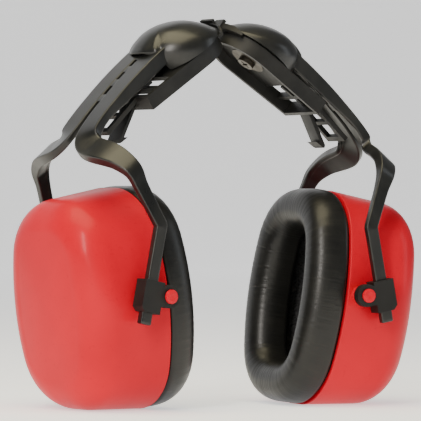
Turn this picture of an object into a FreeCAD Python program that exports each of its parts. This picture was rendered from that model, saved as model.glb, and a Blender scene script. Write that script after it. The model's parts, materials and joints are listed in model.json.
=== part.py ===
"""Helmet earmuffs: two equal units that lean on each other at their upper tips, in millimetres.

One unit is modelled first, with X pointing away from the head, Z up and the floor at Z = 0. Both units are
then placed from it: each is turned a little about the upright line through the tips, and the second is the
same unit turned round. The origin is on the floor, at the middle of the pair's bounding box.
"""

import FreeCAD
import Part
import math
import os

# ---- cup and seal ring ----
cup_width = 75.0
cup_height = 102.0
cup_depth = 41.0
cup_flat = 15.0
cup_corner_radius = 25.0
cup_face_fillet = 14.0
cup_wall = 2.6
cup_tilt = 8.0
cup_side_draft = 4.0
cup_top_draft = 3.4
cup_seam_reach = 52.5
seal_plate_thickness = 2.2
seal_plate_border = 13.5
seal_plate_clearance = 0.25
cushion_thickness = 18.5
cushion_band = 19.5
cushion_skin = 1.0
cushion_inset = 0.3
cushion_lip_radius = 7.5
foam_clearance = 0.3
liner_thickness = 7.0

# ---- pivot pins and height blocks ----
pin_reach = 5.8
pin_rise = 2.7
pin_radius = 2.5
pin_clearance = 0.06
pin_head_radius = 3.2
pin_head_thickness = 1.5
pin_shoulder_radius = 3.8
pin_end_gap = 0.3
lug_radius = 5.25
lug_thickness = 4.0
lug_web = 4.5
block_width = 10.5
block_height = 14.5
block_thickness = 7.2
block_chamfer = 2.0
leg_fit = 0.3

# ---- fork legs ----
leg_width = 5.8
leg_thickness = 3.4
leg_standoff = 5.0
leg_side = cup_width / 2 + leg_standoff
leg_end = (70.4, 40.4)
leg_kink = (61.7, 84.3)
limb_thickness = 3.6
limb_width = 9.6
limb_overlap = 5.0
limb_rise = 1.2
# each station: X, share of the leg's distance from the middle, Z
limb_stations = [(77.4, 0.1765, 124.6), (75.9, 0.4471, 120.6), (74.6, 0.6706, 116.2), (72.1, 0.8424, 109.4)]

# ---- adapter, the clip that goes on the helmet ----
adapter_slope = 35.5
tip_height = 170.0
tip_gap = 0.2
hub_reach = 19.5
hub_hole_radius = 5.1
adapter_radius = 19.3
adapter_end = 57.5
adapter_end_width = 34.0
adapter_depth = 7.0
adapter_wall = 2.0
hub_plate_thickness = 2.0
hub_plate_end = 41.0
bar_width = 2.2
bar_depth = 3.0
leaf_end = 80.0
leaf_width = 17.0
leaf_rail = 2.6
leaf_thickness = 2.2
leaf_drop = 3.6
leaf_overlap = 1.5
leaf_set_down = 0.2
leaf_window_shift = 0.6
tongue_length = 18.0
tongue_width = 9.6
tongue_thickness = 1.9
tongue_lean = 29.0
tongue_point = 1.2
latch_gap = 0.3
latch_rise = 2.4
barb_height = 2.0
barb_back = 2.0
barb_tip = 3.6
end_tab_width = 9.0
end_tab_height = 4.0
end_tab_reach = 3.4
end_tab_thickness = 1.6
end_tab_ledge = 0.8
end_tab_root = 2.0

# ---- arm: hood, blade and fork ----
hood_radius = 20.8
hood_wall = 2.2
hood_lift = 0.35
crown_radius = 34.0
crown_reach = 28.0
crown_top = 23.5
hood_clear_below = 3.0
hood_clear_top = 17.0
blade_start = 30.0
blade_width = 25.0
blade_thickness = 2.6
blade_slot = 2.4
blade_skirt = 7.2
blade_skirt_wall = 2.3
blade_line = [(30.0, 18.3), (60.0, 15.9), (90.0, 8.3)]
rib_count = 6
rib_length = 2.6
rib_pitch = 9.4
rib_first = 38.0
rib_drop = 0.4

# ---- pivot of the arm on the adapter ----
journal_clearance = 0.05
journal_root = 3.0
spring_room = 1.1
spring_thickness = 0.9
spring_radius = 8.2
spring_bore_clearance = 0.4
washer_thickness = 0.6
washer_radius = 8.5
screw_radius = 2.0
screw_head_radius = 4.0
screw_head_thickness = 2.2
screw_length = 12.0
screw_overlap = 0.5
screw_recess = 1.2
recess_half_length = 2.4
recess_half_width = 0.45

# ---- the pair ----
toe_in = 6.0

# ---- working allowances: a cutter's run past a face, a reach beyond every piece, a match limit ----
past = 1.0
beyond = 50.0
match = 1e-4


def vec(x, y, z):
    """A FreeCAD vector."""
    return FreeCAD.Vector(x, y, z)


def turned(origin, degrees):
    """A frame at origin whose X and Z axes are turned about Y, so that X points down by degrees."""
    return FreeCAD.Placement(origin, FreeCAD.Rotation(vec(0, 1, 0), degrees))


def box(low, high):
    """A block between two corners."""
    size = high.sub(low)
    return Part.makeBox(size.x, size.y, size.z, low)


def rod(radius, start, end):
    """A round bar from start to end."""
    along = end.sub(start)
    return Part.makeCylinder(radius, along.Length, start, along)


def tan(degrees):
    """The tangent of an angle in degrees."""
    return math.tan(math.radians(degrees))


# ---------------------------------------------------------------- cup frame
seam_height = cup_height / 2 * math.cos(math.radians(cup_tilt))
cup_frame = turned(vec(cup_seam_reach, 0, seam_height), cup_tilt)


def quarter(side, level, side_sign, rise_sign, reach, r):
    """A quarter of the outline as two arcs: the corner, then the long gently bowed side."""
    flat = cup_flat / 2
    room = side - flat
    bow = (room**2 + (level - r) ** 2 - r**2) / (2 * (room - r))
    meet = math.atan2(level - r, flat - side + bow)

    def at(y, z):
        return vec(reach, side_sign * y, rise_sign * z)

    def on_corner(angle):
        return at(flat + r * math.cos(angle), level - r + r * math.sin(angle))

    def on_side(angle):
        return at(side - bow + bow * math.cos(angle), bow * math.sin(angle))

    corner = [on_corner(math.pi / 2), on_corner((math.pi / 2 + meet) / 2), on_corner(meet)]
    long_side = [on_corner(meet), on_side(meet / 2), at(side, 0)]
    return [corner, long_side]


def outline(reach, inset):
    """The cup's outline in the plane X = reach, drawn in by inset; the under side stays level on the floor."""
    deep = max(reach, 0)
    side = cup_width / 2 - inset - deep * tan(cup_side_draft)
    top = cup_height / 2 - inset - deep * tan(cup_top_draft)
    bottom = cup_height / 2 - inset - deep * tan(cup_tilt)
    r = cup_corner_radius - inset
    stops = []
    for side_sign, rise_sign, level in ((1, 1, top), (1, -1, bottom), (-1, -1, bottom), (-1, 1, top)):
        arcs = quarter(side, level, side_sign, rise_sign, reach, r)
        if side_sign * rise_sign < 0:
            arcs = [arc[::-1] for arc in arcs[::-1]]
        stops.extend(arcs)
    edges = [Part.Arc(*arc).toShape() for arc in stops]
    edges.insert(4, Part.LineSegment(stops[3][2], stops[4][0]).toShape())
    edges.append(Part.LineSegment(stops[7][2], stops[0][0]).toShape())
    return Part.Wire(edges)


def drafted(low, high, inset):
    """The solid between two outlines of the cup."""
    return Part.makeLoft([outline(low, inset), outline(high, inset)], True, True)


def edges_at(shape, reach):
    """The edges that lie in the plane X = reach."""
    found = []
    for edge in shape.Edges:
        if abs(edge.BoundBox.XMin - reach) < match and abs(edge.BoundBox.XMax - reach) < match:
            found.append(edge)
    return found


def cup_body(inset, high, fillet):
    """A closed cup form whose outer face is rounded over."""
    form = drafted(0, high, inset)
    return form.makeFillet(fillet, edges_at(form, high))


def pin_outline_reach():
    """How far from the middle the pin's shaft begins, just inside the cup's side wall."""
    return cup_width / 2 - cup_wall


lug_outer = leg_side + block_thickness / 2
lug_inner = lug_outer - lug_thickness
head_inner = lug_outer + pin_end_gap
head_outer = head_inner + pin_head_thickness


def cup_shell():
    """The hard cup with its two side pins, each with a head that keeps the block's ring on."""
    shell = cup_body(0, cup_depth, cup_face_fillet)
    shell = shell.cut(cup_body(cup_wall, cup_depth - cup_wall, cup_face_fillet - cup_wall))
    for side in (-1, 1):
        root = vec(pin_reach, side * pin_outline_reach(), pin_rise)
        neck = vec(pin_reach, side * head_inner, pin_rise)
        end = vec(pin_reach, side * head_outer, pin_rise)
        shoulder = vec(pin_reach, side * (lug_inner - pin_end_gap), pin_rise)
        shell = shell.fuse(rod(pin_shoulder_radius, root, shoulder))
        shell = shell.fuse(rod(pin_radius, shoulder, neck))
        shell = shell.fuse(rod(pin_head_radius, neck, end))
    return shell.removeSplitter()


def ring(low, high, inset, border):
    """A band between the cup's outline and the ear opening."""
    outer = drafted(low, high, inset)
    inner = drafted(low - past, high + past, border)
    return outer.cut(inner)


def soft_ring(low, high, inset, border, lip_radius):
    """A band whose two front edges are rounded over."""
    band = ring(low, high, inset, border)
    return band.makeFillet(lip_radius, edges_at(band, low))


def seal_plate():
    """The flat ring that snaps into the cup's mouth and carries the cushion."""
    inset = cup_wall + seal_plate_clearance
    return ring(0, seal_plate_thickness, inset, seal_plate_border)


def cushion_cover():
    """The leatherette skin: a band that is open at the back, where the plate closes it."""
    outer = soft_ring(-cushion_thickness, 0, cushion_inset, cushion_band, cushion_lip_radius)
    core = soft_ring(
        -cushion_thickness + cushion_skin,
        0,
        cushion_inset + cushion_skin,
        cushion_band - cushion_skin,
        cushion_lip_radius - cushion_skin,
    )
    return outer.cut(core)


def cushion_foam():
    """The soft foam ring inside the skin."""
    gap = cushion_skin + foam_clearance
    return soft_ring(
        -cushion_thickness + gap,
        -foam_clearance,
        cushion_inset + gap,
        cushion_band - gap,
        cushion_lip_radius - gap,
    )


def foam_liner():
    """The sound-absorbing foam bowl that lines the inside of the cup."""
    inset = cup_wall + foam_clearance
    high = cup_depth - inset
    bowl = cup_body(inset, high, cup_face_fillet - inset)
    mouth = seal_plate_thickness + foam_clearance
    bowl = bowl.cut(box(vec(-past, -cup_width, -cup_height), vec(mouth, cup_width, cup_height)))
    hollow = drafted(0, high - liner_thickness, inset + liner_thickness)
    return bowl.cut(hollow)


# ---------------------------------------------------------------- legs and blocks
leg_axis = vec(leg_kink[0] - leg_end[0], 0, leg_kink[1] - leg_end[1]).normalize()
leg_lean = math.degrees(math.atan2(leg_end[0] - leg_kink[0], leg_kink[1] - leg_end[1]))
pin_centre = cup_frame.multVec(vec(pin_reach, 0, pin_rise))


def on_leg(height):
    """The point of the leg's middle line at this height."""
    share = (height - leg_end[1]) / (leg_kink[1] - leg_end[1])
    return vec(leg_end[0] + share * (leg_kink[0] - leg_end[0]), 0, height)


block_centre = on_leg(pin_centre.z)
leg_frame = turned(block_centre, -leg_lean)


def height_block(side):
    """The block that slides on one leg, with the ring that turns on the cup's pin."""
    half = block_thickness / 2
    centre = side * leg_side
    body = box(
        vec(-block_width / 2, centre - half, -block_height / 2),
        vec(block_width / 2, centre + half, block_height / 2),
    )
    corner = []
    for edge in body.Edges:
        middle = edge.BoundBox.Center
        if abs(middle.y - centre) < match and middle.x > 0 and middle.z < 0:
            corner.append(edge)
    body = body.makeChamfer(block_chamfer, corner)
    body.Placement = leg_frame.multiply(body.Placement)
    eye = vec(pin_centre.x, side * lug_inner, pin_centre.z)
    eye_end = vec(pin_centre.x, side * lug_outer, pin_centre.z)
    near = min(side * lug_inner, side * lug_outer)
    low = vec(pin_centre.x, near, pin_centre.z - lug_web)
    high = vec(block_centre.x, near + lug_thickness, pin_centre.z + lug_web)
    body = body.fuse(rod(lug_radius, eye, eye_end)).fuse(box(low, high))
    body = body.cut(rod(pin_radius + pin_clearance, eye, eye_end))
    half_width = leg_width / 2 + leg_fit
    half_thick = leg_thickness / 2 + leg_fit
    way = box(
        vec(-half_width, centre - half_thick, -block_height),
        vec(half_width, centre + half_thick, block_height),
    )
    way.Placement = leg_frame.multiply(way.Placement)
    return body.cut(way).removeSplitter()


def section(centre, across, through, width, thickness):
    """A rectangular section of a strap."""
    a = FreeCAD.Vector(across).multiply(width / 2)
    t = FreeCAD.Vector(through).multiply(thickness / 2)
    corners = [centre + a + t, centre - a + t, centre - a - t, centre + a - t]
    corners.append(corners[0])
    return Part.makePolygon(corners)


def strap(stations):
    """A strap lofted through rectangular sections."""
    wires = []
    for centre, along, normal, width, thickness in stations:
        across = normal.cross(along).normalize()
        through = along.cross(across).normalize()
        wires.append(section(centre, across, through, width, thickness))
    return Part.makeLoft(wires, True, True)


def limb(side):
    """One limb of the fork: out from the blade's end, round the shoulder and down the straight leg."""
    up_out = adapter.Rotation.multVec(vec(0, 0, 1))
    sideways = vec(0, side, 0)
    points = [vec(x, side * share * leg_side, z) for x, share, z in limb_stations]
    points.append(vec(leg_kink[0], side * leg_side, leg_kink[1]))
    points.append(vec(leg_end[0], side * leg_side, leg_end[1]))
    first = blade_end_point(side)
    points.insert(0, first)
    stations = []
    last = len(points) - 1
    for number, point in enumerate(points):
        before = points[max(number - 1, 0)]
        after = points[min(number + 1, last)]
        along = after - before
        if 0 < number < last:
            along = (after - point).normalize() + (point - before).normalize()
        share = min(number / (last - 2), 1.0)
        turn = share * share * (3 - 2 * share)
        normal = up_out * (1 - turn) + sideways * turn
        narrow = min(max((number - 2) / 3, 0.0), 1.0)
        width = limb_width + (leg_width - limb_width) * narrow
        thick = limb_thickness + (leg_thickness - limb_thickness) * narrow
        stations.append((point, along.normalize(), normal, width, thick))
    return strap(stations)


# ---------------------------------------------------------------- adapter frame
adapter = turned(vec(tip_gap, 0, tip_height), adapter_slope)
hub_plate_low = adapter_depth - hub_plate_thickness
hood_low = adapter_depth + hood_lift


def hub_rod(radius, low, high):
    """A round bar on the hub's axis."""
    return rod(radius, vec(hub_reach, 0, low), vec(hub_reach, 0, high))


def adapter_form(inset, low, high):
    """The adapter's plan form: a round end about the hub, running on to a square end."""
    r = adapter_radius - inset
    end = adapter_end - inset
    half = adapter_end_width / 2 - inset
    first = vec(hub_reach, r, low)
    last = vec(hub_reach, -r, low)
    arc = Part.Arc(first, vec(hub_reach - r, 0, low), last).toShape()
    lines = Part.makePolygon([last, vec(end, -half, low), vec(end, half, low), first])
    face = Part.Face(Part.Wire([arc] + lines.Edges))
    return face.extrude(vec(0, 0, high - low))


def adapter_frame():
    """The clip's frame: side wall, hub plate, window bars, leaf and end tab."""
    wall = adapter_form(0, 0, adapter_depth)
    wall = wall.cut(adapter_form(adapter_wall, -past, adapter_depth + past))
    plate = adapter_form(0, hub_plate_low, adapter_depth)
    plate = plate.common(box(vec(-beyond, -beyond, -beyond), vec(hub_plate_end, beyond, beyond)))
    frame = wall.fuse(plate)
    half = adapter_end_width / 2
    bar_low = adapter_depth - bar_depth
    half_bar = bar_width / 2
    long_bar = box(vec(hub_plate_end, -half_bar, bar_low), vec(adapter_end, half_bar, adapter_depth))
    middle = (hub_plate_end + adapter_end) / 2
    reach = half - adapter_wall / 2
    cross_bar = box(vec(middle - half_bar, -reach, bar_low), vec(middle + half_bar, reach, adapter_depth))
    frame = frame.fuse(long_bar).fuse(cross_bar).fuse(leaf())
    frame = frame.fuse(end_tab())
    frame = frame.cut(hub_rod(hub_hole_radius, -past, adapter_depth + past))
    return frame.removeSplitter()


def end_tab():
    """The small upstand at the adapter's tip, on a short ledge."""
    half = end_tab_width / 2
    foot = adapter_depth - end_tab_ledge
    upright = box(
        vec(-end_tab_reach, -half, foot),
        vec(-end_tab_reach + end_tab_thickness, half, foot + end_tab_height),
    )
    ledge = box(vec(-end_tab_reach, -half, foot), vec(end_tab_root, half, adapter_depth))
    return upright.fuse(ledge)


def leaf():
    """The outer leaf that lies on the helmet's outside: two rails and cross bars, leaning towards the blade."""
    length = leaf_end - adapter_end
    lean = math.degrees(math.atan2(leaf_drop, length))
    outer = box(vec(-leaf_overlap, -leaf_width / 2, 0), vec(length, leaf_width / 2, leaf_thickness))
    step = (length - bar_width) / 2
    opening = leaf_width / 2 - leaf_rail
    for number in range(2):
        start = bar_width - leaf_window_shift + number * step
        end = start + step - bar_width
        outer = outer.cut(box(vec(start, -opening, -past), vec(end, opening, leaf_thickness + past)))
    foot = adapter_depth - leaf_thickness - leaf_set_down
    outer.Placement = turned(vec(adapter_end, 0, foot), lean)
    return outer


def latch_root():
    """The root of the snap tongue, on the adapter's end bar."""
    return vec(adapter_end + latch_gap, 0, latch_rise)


def latch_tongue():
    """The inner snap tongue with its barb; it grips the helmet slot from inside."""
    half = tongue_thickness / 2
    profile = [
        vec(0, 0, -half),
        vec(tongue_length - barb_back, 0, -half),
        vec(tongue_length - barb_tip, 0, -half - barb_height),
        vec(tongue_length, 0, -half),
        vec(tongue_length + tongue_point, 0, 0),
        vec(tongue_length, 0, half),
        vec(0, 0, half),
    ]
    profile.append(profile[0])
    body = Part.Face(Part.makePolygon(profile)).extrude(vec(0, tongue_width, 0))
    body.translate(vec(0, -tongue_width / 2, 0))
    body.Placement = turned(latch_root(), tongue_lean).multiply(body.Placement)
    return body.cut(box(vec(-beyond, -beyond, -beyond), vec(adapter_end + latch_gap, beyond, beyond)))


# ---------------------------------------------------------------- arm
def arc_3(points, drop):
    """An arc through three points of the blade's line, lowered by drop."""
    stops = [vec(s, 0, n - drop) for s, n in points]
    return Part.Arc(*stops).toShape()


def blade_slab(top_drop, bottom_drop, low_y, high_y):
    """The part of the blade between two depths under its outer face and between two widths."""
    top = arc_3(blade_line, top_drop)
    bottom = arc_3(blade_line, bottom_drop)
    ends = [
        Part.LineSegment(top.Vertexes[1].Point, bottom.Vertexes[1].Point).toShape(),
        Part.LineSegment(bottom.Vertexes[0].Point, top.Vertexes[0].Point).toShape(),
    ]
    face = Part.Face(Part.Wire(Part.sortEdges([top, ends[0], bottom, ends[1]])[0]))
    slab = face.extrude(vec(0, high_y - low_y, 0))
    slab.translate(vec(0, low_y, 0))
    return slab


def blade_end_point(side):
    """The middle of one strap near the blade's end, in the unit's frame."""
    s, n = blade_line[2]
    middle = (blade_width + blade_slot) / 4
    return adapter.multVec(vec(s - limb_overlap, side * middle, n + limb_rise - limb_thickness / 2))


def crowned_rod(inset, low, high):
    """A round bar on the hub's axis, topped by the hood's crown, both drawn in by inset."""
    ball = Part.makeSphere(crown_radius - inset, vec(crown_reach, 0, crown_top - crown_radius))
    return hub_rod(hood_radius - inset, low, high).common(ball)


def hood():
    """The round crowned hood over the hub, hollow inside."""
    outer = crowned_rod(0, hood_low, crown_top + past)
    return outer.cut(crowned_rod(hood_wall, hood_low - past, crown_top + past))


def arm():
    """The whole arm, one moulding: hood, two straps joined by ribs, and the fork with its two legs."""
    half = blade_width / 2
    body = hood()
    for side in (-1, 1):
        low = min(side * blade_slot / 2, side * half)
        high = max(side * blade_slot / 2, side * half)
        body = body.fuse(blade_slab(0, blade_thickness, low, high))
        low = min(side * (half - blade_skirt_wall), side * half)
        high = max(side * (half - blade_skirt_wall), side * half)
        body = body.fuse(blade_slab(0, blade_skirt, low, high))
    plain = blade_slab(rib_drop, blade_thickness, -blade_slot, blade_slot)
    for number in range(rib_count):
        start = rib_first + number * rib_pitch
        rib = plain.common(box(vec(start, -half, -beyond), vec(start + rib_length, half, beyond)))
        body = body.fuse(rib)
    body = body.cut(crowned_rod(hood_wall, hood_low - hood_clear_below, hood_clear_top))
    journal_low = hub_plate_low - spring_room
    journal = hub_rod(hub_hole_radius - journal_clearance, journal_low, crown_top - journal_root)
    body = body.fuse(journal)
    bore_end = journal_low + screw_length - screw_head_thickness
    body = body.cut(hub_rod(screw_radius, journal_low - past, bore_end))
    body.Placement = adapter.multiply(body.Placement)
    for side in (-1, 1):
        body = body.fuse(limb(side))
    return body.removeSplitter()


# ---------------------------------------------------------------- small pieces of the pivot
washer_top = hub_plate_low - spring_room
washer_low = washer_top - washer_thickness


def spring_washer():
    """The disc spring that presses the adapter's plate and gives the swivel its friction."""
    low = washer_top + (spring_room - spring_thickness) / 2
    high = low + spring_thickness
    bore = hub_rod(hub_hole_radius + spring_bore_clearance, low - past, high + past)
    return hub_rod(spring_radius, low, high).cut(bore)


def plain_washer():
    """The washer under the screw's head."""
    bore = hub_rod(screw_radius, washer_low - past, washer_top + past)
    return hub_rod(washer_radius, washer_low, washer_top).cut(bore)


def pivot_screw():
    """The screw that holds the arm's journal in the adapter, with a cross recess."""
    head_low = washer_low - screw_head_thickness
    screw = hub_rod(screw_head_radius, head_low, washer_low)
    shank_end = washer_top + screw_length - screw_head_thickness
    screw = screw.fuse(hub_rod(screw_radius, washer_low - screw_overlap, shank_end))
    centre = vec(hub_reach, 0, head_low)
    for long, wide in ((recess_half_length, recess_half_width), (recess_half_width, recess_half_length)):
        low = centre - vec(long, wide, past)
        high = centre + vec(long, wide, screw_recess)
        screw = screw.cut(box(low, high))
    return screw


def in_cup_frame(shape):
    """Carries a piece from the cup's frame to the unit's."""
    shape.Placement = cup_frame.multiply(shape.Placement)
    return shape


def in_adapter_frame(shape):
    """Carries a piece from the adapter's frame to the unit's."""
    shape.Placement = adapter.multiply(shape.Placement)
    return shape


def unit_pieces():
    """Every piece of one unit, by name, in the unit's frame."""
    return {
        "cup_shell": in_cup_frame(cup_shell()),
        "foam_liner": in_cup_frame(foam_liner()),
        "seal_plate": in_cup_frame(seal_plate()),
        "cushion_cover": in_cup_frame(cushion_cover()),
        "cushion_foam": in_cup_frame(cushion_foam()),
        "front_height_block": height_block(-1),
        "rear_height_block": height_block(1),
        "fork_arm": arm(),
        "helmet_adapter": in_adapter_frame(adapter_frame()),
        "latch_tongue": in_adapter_frame(latch_tongue()),
        "spring_washer": in_adapter_frame(spring_washer()),
        "plain_washer": in_adapter_frame(plain_washer()),
        "pivot_screw": in_adapter_frame(pivot_screw()),
    }


def main():
    """Builds the unit once, places it twice and writes one file for each piece."""
    os.makedirs("parts", exist_ok=True)
    pieces = unit_pieces()
    turns = {"right": -toe_in, "left": 180.0 + toe_in}
    placed = {}
    whole = FreeCAD.BoundBox()
    for hand, angle in turns.items():
        turn = FreeCAD.Placement(vec(0, 0, 0), FreeCAD.Rotation(vec(0, 0, 1), angle))
        for name, shape in pieces.items():
            own = shape.copy()
            own.Placement = turn.multiply(own.Placement)
            placed[hand + "_" + name] = own
            whole.add(own.optimalBoundingBox(False, False))
    shift = vec(0, -whole.Center.y, 0)
    for name, shape in placed.items():
        shape.translate(shift)
        shape.exportStep("parts/" + name + ".step")
        print(name, "valid", shape.isValid(), "solids", len(shape.Solids), "volume", round(shape.Volume, 1))
    print("shift", round(shift.y, 4), "low", round(whole.ZMin, 3), "box", round(whole.XLength, 1))
    print("box", round(whole.YLength, 1), round(whole.ZLength, 1))


main()
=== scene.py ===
import json
import math

import bmesh
import bpy
import numpy as np
from mathutils import Matrix, Vector


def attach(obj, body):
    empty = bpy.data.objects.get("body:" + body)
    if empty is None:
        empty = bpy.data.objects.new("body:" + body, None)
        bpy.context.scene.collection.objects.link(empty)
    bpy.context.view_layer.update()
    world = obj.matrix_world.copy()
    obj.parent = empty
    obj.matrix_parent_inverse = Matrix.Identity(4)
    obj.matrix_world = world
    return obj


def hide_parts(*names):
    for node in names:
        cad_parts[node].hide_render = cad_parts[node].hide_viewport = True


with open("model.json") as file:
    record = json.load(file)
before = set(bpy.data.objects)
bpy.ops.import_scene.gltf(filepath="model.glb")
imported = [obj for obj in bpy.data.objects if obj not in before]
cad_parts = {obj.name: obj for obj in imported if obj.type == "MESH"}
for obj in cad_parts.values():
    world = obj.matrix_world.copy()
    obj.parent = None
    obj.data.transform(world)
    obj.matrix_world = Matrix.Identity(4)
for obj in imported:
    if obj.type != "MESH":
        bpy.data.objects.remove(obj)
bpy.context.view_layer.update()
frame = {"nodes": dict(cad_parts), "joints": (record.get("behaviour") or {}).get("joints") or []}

joints = {joint["name"]: joint for joint in frame["joints"]}
hands = ("right", "left")
mm = 0.001


# ---- where the two units stand, worked out from the joints ----
tiltAxis = joints["right_cup_tilt"]["axis"]
tiltPlace = joints["right_cup_tilt"]["pos_m"]
toeIn = math.atan2(tiltAxis[0], tiltAxis[1])
pinReach = tiltPlace[0] / math.cos(toeIn) / mm
pinHeight = tiltPlace[2] / mm
pairShift = tiltPlace[1] / mm + pinReach * math.sin(toeIn)
handTurn = {"right": -toeIn, "left": math.pi + toeIn}
swivelAxis = joints["right_arm_swivel"]["axis"]
clipSlope = math.acos(swivelAxis[2])                       # how far the adapter's plane leans
swivelPlace = joints["right_arm_swivel"]["pos_m"]


def toWorld(points, hand):
    # turns a unit's points about the upright line through the tips, then shifts them; millimetres to metres
    c, s = math.cos(handTurn[hand]), math.sin(handTurn[hand])
    x, y, z = points[..., 0], points[..., 1], points[..., 2]
    return np.stack([x * c - y * s, x * s + y * c + pairShift, z], -1) * mm


def frameAt(origin, lean):
    # a frame in the unit whose X points down by lean:
    # unit point = origin + X * (cos, 0, -sin) + Z * (sin, 0, cos)
    c, s = math.cos(lean), math.sin(lean)
    turn = np.array([[c, 0, s], [0, 1, 0], [-s, 0, c]])
    return lambda p: p @ turn.T + np.asarray(origin, float)


cupSize = {
    "halfWidth": 37.5, "halfHeight": 51.0, "depth": 41.0, "tilt": math.radians(8.0), "seamReach": 52.5,
    "sideDraft": 4.0, "topDraft": 3.4, "underDraft": 8.0, "flat": 4.5, "corner": 30.5, "wall": 2.6,
    "round": 14.0, "dome": 1.3, "lipEase": 0.3, "pole": 0.03,
    "flatSteps": 6, "cornerSteps": 17, "sideSteps": 21,
}
seamHeight = cupSize["halfHeight"] * math.cos(cupSize["tilt"])
inCup = frameAt((cupSize["seamReach"], 0, seamHeight), cupSize["tilt"])

hubPlace = (swivelPlace[0] / math.cos(toeIn)) / mm         # the hub's axis point on the adapter's top
hubHeight = swivelPlace[2] / mm
clipDepth = 7.0
hubReach = 19.5
cosSlope, sinSlope = math.cos(clipSlope), math.sin(clipSlope)
clipOrigin = (
    hubPlace - hubReach * cosSlope - clipDepth * sinSlope, 0,
    hubHeight + hubReach * sinSlope - clipDepth * cosSlope,
)
inClip = frameAt(clipOrigin, clipSlope)
print("frame read: toe-in", round(math.degrees(toeIn), 2), "clip slope", round(math.degrees(clipSlope), 2))


# ---- mesh helpers ----
def smoothStep(x, low, high):
    t = np.clip((x - low) / (high - low), 0, 1)
    return t * t * (3 - 2 * t)


def quads(rows, cols, wrapRows=False):
    # faces of a grid that is closed along its columns, and along its rows too when wrapRows is set
    i = np.arange(rows if wrapRows else rows - 1)[:, None]
    j = np.arange(cols)[None, :]
    a, b = i * cols + j, i * cols + (j + 1) % cols
    c, d = ((i + 1) % rows) * cols + (j + 1) % cols, ((i + 1) % rows) * cols + j
    return np.stack([a + 0 * j, b, c, d + 0 * j], -1).reshape(-1, 4)


def gridUv(rows, cols, wrapRows=False):
    # one pair for each corner of each face, running on past the seam
    i = np.arange(rows if wrapRows else rows - 1)[:, None] + np.zeros((1, cols))
    j = np.arange(cols)[None, :] + 0 * i
    corner = [(j, i), (j + 1, i), (j + 1, i + 1), (j, i + 1)]
    return np.stack([np.stack([u / cols, v / max(rows - 1, 1)], -1) for u, v in corner], 2).reshape(-1, 2)


def volumeOf(points, faces):
    a, b, c, d = (points[faces[:, k]] for k in range(4))
    return float((np.einsum("ij,ij->i", a, np.cross(b, c)) + np.einsum("ij,ij->i", a, np.cross(c, d))).sum())


def shell(rings, closed=False, mark=None):
    # a closed surface from rings of points: a torus when closed is set, else with a fan over each end
    rows, cols = rings.shape[:2]
    points = rings.reshape(-1, 3)
    faces = quads(rows, cols, closed)
    uv = gridUv(rows, cols, closed)
    marks = np.zeros(rows * cols) if mark is None else np.broadcast_to(mark, (rows, cols)).reshape(-1)
    if not closed:
        ends = np.stack([rings[0].mean(0), rings[-1].mean(0)])
        points = np.concatenate([points, ends])
        marks = np.concatenate([marks, [0, 0]])
        j = np.arange(cols)
        first, last = rows * cols, rows * cols + 1
        base = (rows - 1) * cols
        head = np.stack([j, np.full(cols, first), np.full(cols, first), (j + 1) % cols], -1)
        tail = np.stack([base + j, base + (j + 1) % cols, np.full(cols, last), np.full(cols, last)], -1)
        faces = np.concatenate([faces, head, tail])
        uv = np.concatenate([uv, np.zeros((cols * 8, 2))])
    if volumeOf(points - points.mean(0), faces) < 0:
        faces = faces[:, ::-1]
        uv = uv.reshape(-1, 4, 2)[:, ::-1].reshape(-1, 2)
    return points, faces, uv, marks


def piece(name, shells, hand, material, rides, replaced=(), smooth=35.0):
    # joins shells into one object in the world's frame, shaded smooth with sharp edges above an angle
    points, polygons, uvs, marks, base = [], [], [], [], 0
    for pts, faces, uv, mark in shells:
        points.append(pts)
        uv = uv.reshape(-1, 4, 2)
        for face, pair in zip((faces + base).tolist(), uv.tolist()):
            keep = [k for k in range(4) if face[k] != face[k - 1]]
            polygons.append([face[k] for k in keep])
            uvs.extend(pair[k] for k in keep)
        marks.append(mark)
        base += len(pts)
    world = toWorld(np.concatenate(points), hand)
    mesh = bpy.data.meshes.new(name)
    mesh.from_pydata(world.tolist(), [], polygons)
    layer = mesh.uv_layers.new(name="UVMap")
    layer.data.foreach_set("uv", np.asarray(uvs, np.float32).ravel())
    wear = mesh.attributes.new("edge", "FLOAT", "POINT")
    wear.data.foreach_set("value", np.concatenate(marks).astype(np.float32))
    return finishPiece(name, mesh, material, rides, replaced, smooth)


def finishPiece(name, mesh, material, rides, replaced=(), smooth=35.0):
    mesh.materials.append(material)
    mesh.shade_smooth()
    mesh.set_sharp_from_angle(angle=math.radians(smooth))
    obj = bpy.data.objects.new(name, mesh)
    bpy.context.scene.collection.objects.link(obj)
    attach(obj, rides)
    if replaced:
        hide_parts(*replaced)
    return obj


def eased(node, name, material, rides, width, segments):
    # a copy of a CAD node whose flat faces are made whole again and whose edges are rounded by width
    mesh = frame["nodes"][node].data.copy()
    mesh.name = name
    mesh.materials.clear()
    work = bmesh.new()
    work.from_mesh(mesh)
    bmesh.ops.remove_doubles(work, verts=work.verts, dist=1e-6)
    bmesh.ops.dissolve_limit(work, angle_limit=math.radians(1.5), verts=work.verts, edges=work.edges)
    work.to_mesh(mesh)
    work.free()
    obj = finishPiece(name, mesh, material, rides, (node,), 40.0)
    bevel = obj.modifiers.new("eased edges", "BEVEL")
    bevel.width = width * mm
    bevel.segments = segments
    bevel.limit_method = "ANGLE"
    bevel.angle_limit = math.radians(32)
    bevel.use_clamp_overlap = True
    bevel.harden_normals = True


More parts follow.
